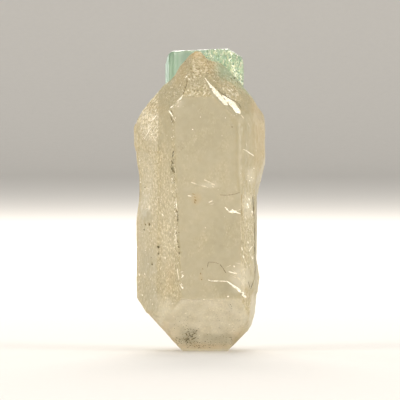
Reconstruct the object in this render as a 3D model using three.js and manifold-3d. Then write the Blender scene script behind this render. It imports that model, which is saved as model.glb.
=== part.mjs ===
// A doubly terminated quartz crystal with a tourmaline prism grown into the back of its top.
// Millimetres, +Z up along the quartz's long axis, front towards -Y, origin at the centre of the small flat foot.

import * as THREE from "three";
import { ConvexGeometry } from "three/addons/geometries/ConvexGeometry.js";
import { mergeVertices } from "three/addons/utils/BufferGeometryUtils.js";
import Module from "manifold-3d";

const wasm = await Module();
wasm.setup();

// Driving dimensions.
const height = 72; // foot to the top of the tourmaline
const frontY = -14.3; // the front prism face
const backY = 11.9; // the back prism face
const rhombTilt = 38.2; // a quartz rhombohedral face's normal, in degrees above the horizontal
const apex = [-2.7, -5.7, 71.3]; // where the upper faces meet
const shoulderZ = 60.5; // upper end of the front prism face
const waistZ = 12.4; // lower end of the front prism face
const footFrontY = -4.6;
const footBackY = 4.8;
const footRightX = 5.4;
const layerStep = 0.95; // the raised growth layer on the upper right face
const socketGap = 0.3;
const tourmalineX = -0.2; // centre of the tourmaline's section
const tourmalineY = 2.6;
const tourmalineBase = 44; // its lower end, inside the quartz
const striaDepth = 0.12; // how far the tourmaline's ridges stand out
const striaSpacing = 0.9;
const edgePitCount = 20;
const hillockRoot = 0.4; // how deep a hillock's foot goes into its face
const reach = 60; // half-size of the block that bounds every set of faces

// A face turned by azimuth (0 looks to the front, 90 to the right), its normal raised by tilt, through a point.
function face(azimuth, tilt, through) {
  const a = THREE.MathUtils.degToRad(azimuth);
  const t = THREE.MathUtils.degToRad(tilt);
  const normal = new THREE.Vector3(Math.sin(a) * Math.cos(t), -Math.cos(a) * Math.cos(t), Math.sin(t));
  return new THREE.Plane().setFromNormalAndCoplanarPoint(normal, new THREE.Vector3(...through));
}

// The same face moved outwards by a distance.
function shifted(plane, outwards) {
  return new THREE.Plane(plane.normal.clone(), plane.constant - outwards);
}

const block = [
  new THREE.Plane(new THREE.Vector3(1, 0, 0), -reach),
  new THREE.Plane(new THREE.Vector3(-1, 0, 0), -reach),
  new THREE.Plane(new THREE.Vector3(0, 1, 0), -reach),
  new THREE.Plane(new THREE.Vector3(0, -1, 0), -reach),
  new THREE.Plane(new THREE.Vector3(0, 0, 1), -height - reach),
  new THREE.Plane(new THREE.Vector3(0, 0, -1), -reach),
];

// Where three planes meet, or null where they don't.
function meeting(a, b, c) {
  const bc = new THREE.Vector3().crossVectors(b.normal, c.normal);
  const det = a.normal.dot(bc);
  if (Math.abs(det) < 1e-6) return null;
  const ca = new THREE.Vector3().crossVectors(c.normal, a.normal);
  const ab = new THREE.Vector3().crossVectors(a.normal, b.normal);
  return bc
    .multiplyScalar(-a.constant)
    .addScaledVector(ca, -b.constant)
    .addScaledVector(ab, -c.constant)
    .divideScalar(det);
}

// The convex crystal that a set of faces bounds.
function crystal(faces) {
  const all = [...faces, ...block];
  const corners = [];
  for (let i = 0; i < all.length; i++)
    for (let j = i + 1; j < all.length; j++)
      for (let k = j + 1; k < all.length; k++) {
        const p = meeting(all[i], all[j], all[k]);
        const inside = p && all.every((plane) => plane.distanceToPoint(p) < 1e-5);
        if (inside && !corners.some((q) => q.distanceTo(p) < 1e-3)) corners.push(p);
      }
  return solid(new ConvexGeometry(corners));
}

function solid(geometry) {
  geometry.deleteAttribute("normal");
  geometry.deleteAttribute("uv");
  const merged = mergeVertices(geometry, 1e-4);
  return new wasm.Manifold(
    new wasm.Mesh({
      numProp: 3,
      vertProperties: merged.attributes.position.array,
      triVerts: new Uint32Array(merged.index.array),
    }),
  );
}

function named(name, body, material) {
  const mesh = body.getMesh();
  const geometry = new THREE.BufferGeometry();
  geometry.setAttribute("position", new THREE.BufferAttribute(mesh.vertProperties, 3));
  geometry.setIndex(new THREE.BufferAttribute(mesh.triVerts, 1));
  geometry.computeVertexNormals();
  const made = new THREE.Mesh(geometry, material);
  made.name = name;
  return made;
}

// Even numbers between 0 and 1 that come out the same each time.
function dice(seed) {
  let state = seed;
  return () => {
    state = (state * 1664525 + 1013904223) % 4294967296;
    return state / 4294967296;
  };
}

// A patch of a face to carry relief: the face, a point by its middle, and half its width and height.
function patch(plane, near, halfWidth, halfHeight) {
  const across = new THREE.Vector3(-plane.normal.y, plane.normal.x, 0).normalize();
  const along = new THREE.Vector3().crossVectors(plane.normal, across);
  const middle = plane.projectPoint(new THREE.Vector3(...near), new THREE.Vector3());
  return { plane, across, along, middle, halfWidth, halfHeight };
}

function onPatch(area, u, v) {
  return area.middle.clone().addScaledVector(area.across, u).addScaledVector(area.along, v);
}

// A low growth hillock: a flat top with six sloping sides, its foot sunk into the face.
function hillock(area, centre, width, length, rise, roll) {
  const sides = [];
  for (let i = 0; i < 6; i++) {
    const turn = ((i + 0.6 * roll()) * Math.PI) / 3;
    const outwards = new THREE.Vector3()
      .addScaledVector(area.across, Math.cos(turn) / width)
      .addScaledVector(area.along, Math.sin(turn) / length)
      .normalize();
    const rim = centre
      .clone()
      .addScaledVector(area.across, Math.cos(turn) * width)
      .addScaledVector(area.along, Math.sin(turn) * length);
    const normal = outwards.multiplyScalar(0.6).addScaledVector(area.plane.normal, 0.8).normalize();
    sides.push(new THREE.Plane().setFromNormalAndCoplanarPoint(normal, rim));
  }
  const lid = area.plane.normal
    .clone()
    .addScaledVector(area.across, 0.2 * (roll() - 0.5))
    .addScaledVector(area.along, 0.2 * (roll() - 0.5))
    .normalize();
  const crown = centre.clone().addScaledVector(area.plane.normal, rise);
  const root = centre.clone().addScaledVector(area.plane.normal, -hillockRoot);
  return crystal([
    ...sides,
    new THREE.Plane().setFromNormalAndCoplanarPoint(lid, crown),
    new THREE.Plane().setFromNormalAndCoplanarPoint(area.plane.normal.clone().negate(), root),
  ]);
}

// Hillocks scattered over a patch.
function rough(body, area, count, width, length, rise, seed) {
  const roll = dice(seed);
  let made = body;
  for (let i = 0; i < count; i++) {
    const u = (2 * roll() - 1) * area.halfWidth;
    const v = ((2 * i + 1 + roll() - 0.5) / count - 1) * area.halfHeight;
    const size = 0.6 + 0.8 * roll();
    const high = rise * (0.7 + 0.6 * roll());
    made = made.add(hillock(area, onPatch(area, u, v), width * size, length * size, high, roll));
  }
  return made;
}

// A small eight-sided pit centred on a point.
function pit(centre, radius, length) {
  const faces = [];
  for (const tilt of [-40, 40])
    for (const azimuth of [20, 110, 200, 290]) {
      const out = face(azimuth, tilt, centre).normal;
      const stretch = new THREE.Vector3(radius, radius, length);
      const rim = new THREE.Vector3(...centre).add(out.clone().multiply(stretch));
      faces.push(new THREE.Plane().setFromNormalAndCoplanarPoint(out, rim));
    }
  return crystal(faces);
}

// Prism faces, clockwise from the front.
const front = face(0, 0, [0, frontY, 0]);
const leftGrowth = face(-41, -1.6, [-7.6, frontY, 57]);
const leftFront = face(-60, -0.9, [-11.1, -11.3, 55]);
const leftBack = face(-120, 0.5, [-16.5, -1.2, 30]);
const back = face(180, 0, [0, backY, 0]);
const rightBack = face(120, 0, [12.2, 2.8, 20]);
const rightRim = face(88, 0, [11.9, -8.6, 20]);
const rightFront = face(60, 0, [8.5, frontY, 20]);

// Upper rhombohedral faces.
const upperFront = face(0, rhombTilt, [0, frontY, shoulderZ]);
const upperLeft = face(-55.5, 33.4, [-5.4, frontY, shoulderZ]);
const upperLeftBack = face(-120, rhombTilt, [-9.5, -4.5, 63.8]);
const upperBack = face(180, rhombTilt, apex);
const upperRightBack = face(120, rhombTilt, [9.2, -2, 62]);
const upperRight = face(50.8, 39.2, [1.6, frontY, shoulderZ]);
const upperRiser = face(8, 20, [2, -10.8, 65]);

// Lower rhombohedral faces and the flat foot.
const lowerFront = face(0, -rhombTilt, [0, frontY, waistZ]);
const lowerLeft = face(-66.8, -40.9, [-10.2, -10.9, 7.8]);
const lowerLeftBack = face(-103.3, -42.6, [-10.2, -4.8, 5]);
const lowerBack = face(180, -rhombTilt, [0, footBackY, 0]);
const lowerRightBack = face(104, -44.1, [footRightX, footFrontY, 0]);
const lowerRight = face(63.4, -41.8, [footRightX, footFrontY, 0]);
const lowerRightRim = face(78, -24, [10.6, -6, 6.2]);
const lowerRightFlank = face(84, -6, [11.3, -7, 13]);
const foot = face(0, -90, [0, 0, 0]);

const prism = [front, leftGrowth, leftFront, leftBack, back, rightBack, rightRim, rightFront];
const top = [upperFront, upperLeft, upperLeftBack, upperBack, upperRightBack];
const lowerRightSide = [lowerRight, lowerRightRim, lowerRightFlank, lowerRightBack];
const bottom = [lowerFront, lowerLeft, lowerLeftBack, lowerBack, ...lowerRightSide, foot];

// The layer that thickens the upper right face behind a steep riser.
function upperRightLayer() {
  return crystal([...prism, ...top, shifted(upperRight, layerStep), upperRiser, ...bottom]);
}

// The swelling along the upper right edge, with a tapering end that hangs free below.
function rightLobe() {
  return crystal([
    face(59, 0, [8.9, -14, 40]),
    face(90, 0, [14.2, -2, 45]),
    face(122, 0, [14.2, 1.2, 45]),
    face(68, 30, [11.8, -3.4, 59.2]),
    shifted(upperRight, layerStep - 0.1),
    shifted(upperRightBack, -0.1),
    face(84, -16, [13.7, -5, 44.8]),
    face(70, -30, [12.1, -7, 40]),
    face(155, 0, [9.5, 7.5, 45]),
    face(-90, 0, [2, 0, 0]),
    face(0, 0, [0, -10.2, 0]),
  ]);
}

// The rough raised patch below the left shoulder.
const shoulderFace = face(-57, 1, [-17, -2.2, 52]);

function leftShoulderPatch() {
  return crystal([
    shoulderFace,
    face(-112, 0, [-17, -1.8, 52]),
    face(-68, 31.7, [-13.8, -3.3, 58.9]),
    face(-100, 32, [-13.8, -3, 58.9]),
    shifted(upperLeft, -0.1),
    shifted(upperLeftBack, -0.1),
    face(-62, -30, [-17, -2.2, 48.9]),
    face(60, 0, [-11.2, -11.3, 55]),
    face(180, 0, [0, 5, 0]),
  ]);
}

// A low swelling near the lower right end.
function lowerRightSwelling() {
  return crystal([
    face(80, 13, [12.9, -6, 17.9]),
    face(72, 0, [12.8, -6.5, 17.5]),
    face(80, -11, [12.9, -6, 17.4]),
    face(70, -48, [12.6, -6, 14.2]),
    face(125, 0, [12.8, -5, 17.5]),
    face(35, 0, [10.9, -10.5, 17.5]),
    face(-90, 0, [8, 0, 0]),
  ]);
}

// The pits along the edge between the front face and the left growth face.
function edgePits(body) {
  const roll = dice(5);
  let made = body;
  for (let i = 0; i < edgePitCount; i++) {
    const t = (i + 0.7 * roll()) / edgePitCount;
    const centre = [-7.8 + 1.8 * t + 0.5 * (roll() - 0.5), frontY + 0.15 * roll(), 53 - 39 * t];
    made = made.subtract(pit(centre, 0.15 + 0.3 * roll(), 0.3 + 0.7 * roll()));
  }
  return made;
}

// The few deeper pits on the left faces: place, radius and length.
const leftPits = [
  [[-14.4, -5.6, 38.9], 0.3, 0.3],
  [[-14.3, -5.7, 30], 0.25, 0.4],
  [[-13.4, -7.3, 30], 0.25, 0.4],
  [[-14.6, -5.2, 28.8], 0.25, 0.3],
  [[-11.2, -11, 24.7], 0.42, 0.6],
  [[-11.2, -11, 23.2], 0.25, 0.3],
  [[-12.7, -8.6, 20.5], 0.3, 0.3],
];

// The parts of the quartz that are rough with growth hillocks: patch, count, width, length, rise and seed.
const roughAreas = [
  [patch(leftGrowth, [-9, -12.9, 33], 1.6, 19.5), 38, 0.7, 1.2, 0.16, 11],
  [patch(leftFront, [-13.7, -6.6, 30], 2.4, 16), 18, 0.9, 1.3, 0.1, 12],
  [patch(shoulderFace, [-14.6, -6.1, 53.2], 2, 2.8), 10, 0.8, 0.8, 0.2, 13],
  [patch(rightFront, [10.1, -11.5, 28], 0.9, 14.5), 24, 0.7, 1.1, 0.2, 14],
  [patch(upperFront, [-1.9, -11.6, 63.9], 1.6, 3.6), 10, 0.7, 0.7, 0.14, 15],
  [patch(upperLeft, [-8.2, -9.8, 61.8], 2.6, 3.2), 8, 0.9, 0.7, 0.12, 16],
  [patch(lowerFront, [0.5, -9.8, 6.6], 5.5, 4.2), 12, 1, 0.8, 0.12, 17],
];

function quartzBody() {
  let made = crystal([...prism, ...top, upperRight, ...bottom])
    .add(upperRightLayer())
    .add(rightLobe())
    .add(leftShoulderPatch())
    .add(lowerRightSwelling());
  for (const area of roughAreas) made = rough(made, ...area);
  made = edgePits(made);
  for (const each of leftPits) made = made.subtract(pit(...each));
  return made.subtract(socket());
}

// The tourmaline's outline, clockwise from the left: each prism face's azimuth and distance from the centre.
const tourmalineFaces = [
  [-91, 9.45],
  [-62, 8.5],
  [-35, 6.6],
  [25, 6.1],
  [62, 8.3],
  [85, 9.25],
  [145, 6.9],
  [180, 6.3],
  [-155, 7.2],
];

function tourmalineSides(outwards) {
  return tourmalineFaces.map(([azimuth, distance]) => {
    const plane = face(azimuth, 0, [tourmalineX, tourmalineY, 0]);
    return shifted(plane, distance + outwards);
  });
}

// The basal face, which leans a little, the worn corners beside it and the buried lower end.
const tourmalineEnds = [
  face(-90, 87.9, [5, tourmalineY, height]),
  face(88, 60, [5.3, tourmalineY, height]),
  face(88, 17, [8.9, tourmalineY, 69.3]),
  face(-92, 14, [-9.55, tourmalineY, 68.6]),
  face(-92, 48, [-8.9, tourmalineY, 70.7]),
  face(0, -90, [0, 0, tourmalineBase]),
];

// Long low ridges on every prism face.
function striated(body) {
  const roll = dice(29);
  const sides = tourmalineSides(0);
  const level = face(0, 90, [0, 0, 0]);
  const corners = sides.map((side, i) => meeting(side, sides[(i + 1) % sides.length], level));
  let made = body;
  sides.forEach((side, i) => {
    const azimuth = tourmalineFaces[i][0];
    const from = corners[(i + sides.length - 1) % sides.length];
    const span = corners[i].clone().sub(from);
    const count = Math.floor(span.length() / striaSpacing);
    for (let k = 0; k < count; k++) {
      const left = from.clone().addScaledVector(span, (k + 0.15 + 0.3 * roll()) / count);
      const right = from.clone().addScaledVector(span, (k + 0.6 + 0.3 * roll()) / count);
      const ridge = [
        shifted(side, striaDepth * (0.5 + 0.5 * roll())),
        face(azimuth - 50, 0, left.toArray()),
        face(azimuth + 50, 0, right.toArray()),
        face(azimuth + 180, 0, left.clone().addScaledVector(side.normal, -1).toArray()),
      ];
      made = made.add(crystal([...ridge, ...tourmalineEnds]));
    }
  });
  return made;
}

function tourmalineBody() {
  return striated(crystal([...tourmalineSides(0), ...tourmalineEnds]));
}

// The hollow that the tourmaline grew in, open at the top and clear of its ridges.
function socket() {
  const floor = face(0, -90, [0, 0, tourmalineBase - socketGap]);
  return crystal([...tourmalineSides(striaDepth + socketGap), floor]);
}

const milky = new THREE.MeshStandardMaterial({ color: 0xcdbd97, roughness: 0.4, metalness: 0 });
const mint = new THREE.MeshStandardMaterial({ color: 0x9fc9a8, roughness: 0.25, metalness: 0 });

const group = new THREE.Group();
group.add(named("quartz_crystal", quartzBody(), milky));
group.add(named("tourmaline_crystal", tourmalineBody(), mint));

export default group;
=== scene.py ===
import math
import random
from functools import partial

import bmesh
import bpy
import numpy
from mathutils import Matrix, Vector, noise
from mathutils.bvhtree import BVHTree


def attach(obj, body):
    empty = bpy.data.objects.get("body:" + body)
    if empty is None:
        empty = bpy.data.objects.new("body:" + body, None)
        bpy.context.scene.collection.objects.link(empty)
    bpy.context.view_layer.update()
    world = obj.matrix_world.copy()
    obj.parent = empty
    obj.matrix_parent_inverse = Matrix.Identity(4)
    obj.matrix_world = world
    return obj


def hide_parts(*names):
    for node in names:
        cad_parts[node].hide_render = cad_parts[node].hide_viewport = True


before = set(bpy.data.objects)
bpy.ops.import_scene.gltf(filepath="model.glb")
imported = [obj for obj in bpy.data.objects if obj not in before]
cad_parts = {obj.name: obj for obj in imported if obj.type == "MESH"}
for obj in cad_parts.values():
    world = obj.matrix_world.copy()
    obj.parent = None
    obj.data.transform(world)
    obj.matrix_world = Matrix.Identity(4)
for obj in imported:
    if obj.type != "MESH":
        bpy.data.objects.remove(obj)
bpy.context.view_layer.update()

mm = 0.001


def linear(hexColour):  # sRGB hex to the linear values that the shaders work in
    channels = [int(hexColour[i:i + 2], 16) / 255 for i in (1, 3, 5)]
    return [c / 12.92 if c <= 0.04045 else ((c + 0.055) / 1.055) ** 2.4 for c in channels] + [1.0]


def fill(node, settings={}, links={}):  # a node's settings or socket values, and what feeds it
    for name, value in settings.items():
        if name == "stops":  # a colour ramp's places, with hex colours or grey levels
            band = node.color_ramp.elements
            while len(band) < len(value):
                band.new(0.5)
            for element, (place, colour) in zip(band, value):
                element.position = place
                element.color = linear(colour) if isinstance(colour, str) else (colour, colour, colour, 1)
        elif isinstance(name, int) or name in node.inputs:
            node.inputs[name].default_value = linear(value) if isinstance(value, str) else value
        else:
            setattr(node, name, value)
    for name, source in links.items():
        if isinstance(source, bpy.types.Node):  # a node stands for its first output in use
            source = next(each for each in source.outputs if each.enabled)
        node.id_data.links.new(source, node.inputs[name])
    return node


def addNode(nodes, kind, settings={}, links={}):  # a new node with all of that
    return fill(nodes.new("ShaderNode" + kind), settings, links)


def startMaterial(name):  # an empty finish, what adds its nodes, its shader and the place on the object
    material = bpy.data.materials.new(name)
    material.use_nodes = True
    nodes = material.node_tree.nodes
    add = partial(addNode, nodes)
    return material, add, nodes["Principled BSDF"], add("TexCoord").outputs["Object"]


def meshOf(name, bm):  # and the bmesh goes
    mesh = bpy.data.meshes.new(name)
    bm.to_mesh(mesh)
    bm.free()
    return mesh


def placed(name, data):  # an object in the scene
    made = bpy.data.objects.new(name, data)
    bpy.context.scene.collection.objects.link(made)
    return made


def smooth(low, high, value):  # 0 below low, 1 above high, eased between
    t = min(1, max(0, (value - low) / (high - low)))
    return t * t * (3 - 2 * t)


studio = {
    "floorTones": [(0.3, "#DEDBD6"), (0.7, "#E0DDD8")],
    "floorRadius": 2.2,  # metres, as the next two
    "wallHeight": 0.4,
    "sweepRadius": 0.35,
    "world": {"Color": "#DAD9D6", "Strength": 0.62},
    "aim": (-1.3 * mm, 0, 35.9 * mm),
    "elevation": 1.5,  # degrees
    "distance": 1.6,
    "frameWidth": 95.5 * mm,  # real width that the frame takes in at the object
    "sensor": 36.0,
    # kind, name, place in metres, size, watts, colour; a lantern shines all round and so lights the wall too
    "lights": [
        ("AREA", "key softbox", (-0.66, -0.36, 0.24), 0.35, 3.3, "#FFF8EE"),
        ("AREA", "fill softbox", (0.7, -0.33, 0.2), 0.4, 4.0, "#FFFAF4"),
        ("AREA", "low front strip", (0.0, -0.6, 0.03), 0.3, 1.8, "#FFFAF4"),
        ("AREA", "top softbox", (0.0, 0.05, 0.75), 0.5, 1.5, "#FFFFFF"),
        ("POINT", "rear lantern", (0.0, 0.75, 0.42), 0.5, 18.4, "#FFFAF4"),
        ("AREA", "left rim strip", (-0.5, 0.42, 0.1), 0.25, 0.8, "#FFFFFF"),
        ("AREA", "right rim strip", (0.5, 0.42, 0.1), 0.25, 0.4, "#FFFFFF"),
    ],
}


def buildCamera():
    data = bpy.data.cameras.new("camera")
    camera = placed("camera", data)
    tilt = math.radians(studio["elevation"])
    away = Vector((0, -math.cos(tilt), math.sin(tilt))) * studio["distance"]
    camera.location = Vector(studio["aim"]) + away
    camera.rotation_euler = (math.pi / 2 - tilt, 0, 0)
    data.sensor_width = studio["sensor"]
    data.lens = studio["sensor"] * studio["distance"] / studio["frameWidth"]
    data.clip_start = 0.05
    bpy.context.scene.camera = camera


def mattPaper():  # rolled studio paper: pulp fibres give it a faint tooth and no gloss
    material, add, shader, place = startMaterial("pale matt paper")
    pulp = add("TexNoise", {"Scale": 400, "Detail": 3.0}, {"Vector": place})  # 2.5 mm clouds
    tone = add("ValToRGB", {"stops": studio["floorTones"]}, {"Fac": pulp})
    fill(shader, {"Roughness": 0.9}, {"Base Color": tone})
    return material


def buildFloor():  # a round floor that sweeps up into a wall, so every side has the same background
    bm = bmesh.new()
    bmesh.ops.create_circle(bm, cap_ends=True, segments=96, radius=studio["floorRadius"])
    rim = [e for e in bm.edges if e.is_boundary]
    wall = bmesh.ops.extrude_edge_only(bm, edges=rim)["geom"]
    bmesh.ops.translate(bm, verts=[v for v in wall if isinstance(v, bmesh.types.BMVert)],
                        vec=(0, 0, studio["wallHeight"]))
    bmesh.ops.bevel(bm, geom=rim, offset=studio["sweepRadius"], segments=16, profile=0.5,
                    affect="EDGES", material=-1)
    bmesh.ops.recalc_face_normals(bm, faces=bm.faces)
    floor = placed("floor", meshOf("floor", bm))
    floor.data.shade_smooth()
    floor.data.materials.append(mattPaper())


def buildLights():
    for kind, name, place, size, watts, colour in studio["lights"]:
        data = bpy.data.lights.new(name, kind)
        if kind == "AREA":
            data.shape = "SQUARE"
            data.size = size
        else:
            data.shadow_soft_size = size / 2
        data.energy = watts
        data.color = linear(colour)[:3]
        light = placed(name, data)
        light.location = place
        light.visible_camera = False
        light.rotation_euler = (Vector(studio["aim"]) - Vector(place)).to_track_quat("-Z", "Y").to_euler()
    world = bpy.data.worlds.new("studio")
    bpy.context.scene.world = world
    world.use_nodes = True
    fill(world.node_tree.nodes["Background"], studio["world"])
    bpy.context.scene.view_settings.view_transform = "Standard"


buildCamera()
buildFloor()
buildLights()
print("camera, floor and lights are in place")

craft = {  # how the crystals are cut, meshed and marked, in mm
    "block": 200,  # the raw block's side
    "fill": 0.9,  # the share of the remesh grid that a crystal fills
    "sight": 60,  # how far out a mark starts on its way to the surface
    "nearby": 5,  # and from where the nearest place is looked for, if it passes the crystal by
    "fineSliver": (0.5, 1.2),  # wider or longer slivers are made rounder
    "lap": 1.08,  # slivers are this much longer, so that a row of them joins up
    "ragged": 0.14,  # how far a sliver's outline strays, as a share of its width
    "proud": (0.04, 0.04),  # how far a sliver stands out: at least, and more for each mm of width
    "leanSpread": 14,  # degrees, for the strewn slivers
    "pillowStretch": (1, 1, 0.55),  # etched pillows are taller than wide
}


def normalOf(azimuth, tilt):  # azimuth 0 looks to the front, 90 to the right; tilt raises the normal
    a, t = math.radians(azimuth), math.radians(tilt)
    return Vector((math.sin(a) * math.cos(t), -math.cos(a) * math.cos(t), math.sin(t)))


def outwards(azimuth, tilt, point, distance):  # a face moved along its normal, in mm
    return azimuth, tilt, tuple(Vector(point) + normalOf(azimuth, tilt) * distance)


def cutBlock(faces):  # a block cut down by faces: azimuth, tilt and a point in mm
    bm = bmesh.new()
    bmesh.ops.create_cube(bm, size=craft["block"] * mm)
    for azimuth, tilt, point in faces:
        cut = bmesh.ops.bisect_plane(
            bm, geom=bm.verts[:] + bm.edges[:] + bm.faces[:], dist=1e-7,
            plane_co=Vector(point) * mm, plane_no=normalOf(azimuth, tilt), clear_outer=True)
        rim = [e for e in cut["geom_cut"] if isinstance(e, bmesh.types.BMEdge)]
        if rim:
            bmesh.ops.contextual_create(bm, geom=rim)
    bmesh.ops.recalc_face_normals(bm, faces=bm.faces)
    return placed("block", meshOf("block", bm))


def modified(obj, kind, **settings):  # a modifier is made and goes into the mesh
    modifier = obj.modifiers.new("made", kind)
    for name, value in settings.items():
        setattr(modifier, name, value)
    graph = bpy.context.evaluated_depsgraph_get()
    mesh = bpy.data.meshes.new_from_object(obj.evaluated_get(graph))
    obj.modifiers.clear()
    obj.data = mesh
    return obj


def joined(body, others, operation):  # booleans one after another, and the tools go
    for other in others:
        modified(body, "BOOLEAN", operation=operation, solver="EXACT", object=other)
        bpy.data.objects.remove(other)
    return body


def remeshed(obj, depth):  # even quads that keep the crystal's edges
    return modified(obj, "REMESH", mode="SHARP", octree_depth=depth, scale=craft["fill"],
                    sharpness=1.0, use_remove_disconnected=False)


def softenedMesh(piece, boxes):  # one round of smoothing, then more in each box: its corners in mm and rounds
    bm = bmesh.new()
    bm.from_mesh(piece.data)
    for low, high, rounds in [((-99, -99, -99), (99, 99, 99), 1)] + boxes:
        chosen = [v for v in bm.verts if all(a * mm < c < b * mm for a, c, b in zip(low, v.co, high))]
        for each in range(rounds):
            bmesh.ops.smooth_vert(bm, verts=chosen, factor=0.5,
                                  use_axis_x=True, use_axis_y=True, use_axis_z=True)
    bm.to_mesh(piece.data)
    tree = BVHTree.FromBMesh(bm)
    bm.free()
    return tree


def stretched(point, factors):  # where a pattern that is longer one way is read
    return Vector([along * factor for along, factor in zip(point, factors)])


def etched(point, size):  # little pillows with sharp valleys, as etching leaves on a crystal face
    near = noise.voronoi(stretched(point, craft["pillowStretch"]) / size)[0]
    return min(1, (near[1] - near[0]) * 2.2) - 0.5


def surfaceAt(tree, x, z, azimuth=0):  # where a level line of sight meets the crystal, and the normal there
    facing = normalOf(azimuth, 0)
    start = Vector((math.cos(math.radians(azimuth)), math.sin(math.radians(azimuth)), 0)) * x
    start += Vector((0, 0, z)) + facing * craft["sight"]
    place, normal = tree.ray_cast(start * mm, -facing)[:2]
    if not place:
        place, normal = tree.find_nearest((start - facing * (craft["sight"] - craft["nearby"])) * mm)[:2]
    return place, normal


def addSliver(bm, tree, mark, slot, dice, azimuth=0):  # a thin lens that hugs the surface between two ends
    startX, startZ, endX, endZ, width = mark
    along = Vector((endX - startX, 0, endZ - startZ))
    middle = Vector((startX + endX, 0, startZ + endZ)) / 2
    across = Vector((along.z, 0, -along.x)).normalized()
    wide, long = craft["fineSliver"]
    rounds = 2 if width > wide or along.length > long else 1
    turn = Matrix((along.normalized(), across, Vector((0, 1, 0)))).transposed().to_4x4()
    size = Matrix.Diagonal((along.length * craft["lap"], width, 2, 1))
    made = bmesh.ops.create_icosphere(bm, subdivisions=rounds, radius=0.5, matrix=turn @ size)["verts"]
    centre = surfaceAt(tree, middle.x, middle.z, azimuth)[0]
    least, more = craft["proud"]
    for vert in made:
        height = -vert.co.y
        spot = middle + vert.co + across * dice.uniform(-craft["ragged"], craft["ragged"]) * width
        place, normal = surfaceAt(tree, spot.x, spot.z, azimuth)
        if (place - centre).length > (along.length + 1) * mm:  # it would spill round an edge
            place, normal = tree.find_nearest(centre)[:2]
        vert.co = place + normal * height * (least + width * more) * mm
    for found in {f for v in made for f in v.link_faces}:
        found.material_index = slot
        found.smooth = False


def scatter(bm, tree, groups, dice):  # slivers strewn at random in boxes of x and z
    for azimuth, slots, count, across, up, length, width, lean in groups:
        for each in range(count):
            x, z = dice.uniform(*across), dice.uniform(*up)
            turn = math.radians(lean + dice.gauss(0, craft["leanSpread"]))
            half = Vector((math.cos(turn), math.sin(turn))) * dice.uniform(*length) / 2
            mark = (x - half.x, z - half.y, x + half.x, z + half.y, dice.uniform(*width))
            addSliver(bm, tree, mark, dice.choice(slots), dice, azimuth)


def joinOnto(piece, added):  # a small bmesh goes into a piece's mesh
    loose = meshOf("slivers", added)
    bm = bmesh.new()
    bm.from_mesh(piece.data)
    for found in bm.faces:
        found.smooth = True
    bm.from_mesh(loose)
    bm.to_mesh(piece.data)
    bm.free()
    bpy.data.meshes.remove(loose)


def keepValues(mesh, values):  # per point values that a material reads
    for name, found in values.items():
        mesh.attributes.new(name, "FLOAT", "POINT").data.foreach_set("value", found)


def speckledFinish(name, scale, tones, gloss, ior=1.5):  # specks in a few tones, with roughness to match
    material, add, shader, place = startMaterial(name)
    specks = add("TexNoise", {"Scale": scale, "Detail": 2.0}, {"Vector": place})
    colour = add("ValToRGB", {"stops": tones}, {"Fac": specks})
    dullness = add("ValToRGB", {"stops": gloss}, {"Fac": specks})
    fill(shader, {"IOR": ior}, {"Base Color": colour, "Roughness": dullness})
    return material


rhomb = 38.2  # degrees that a rhombohedral face's normal stands above the horizontal

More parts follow.
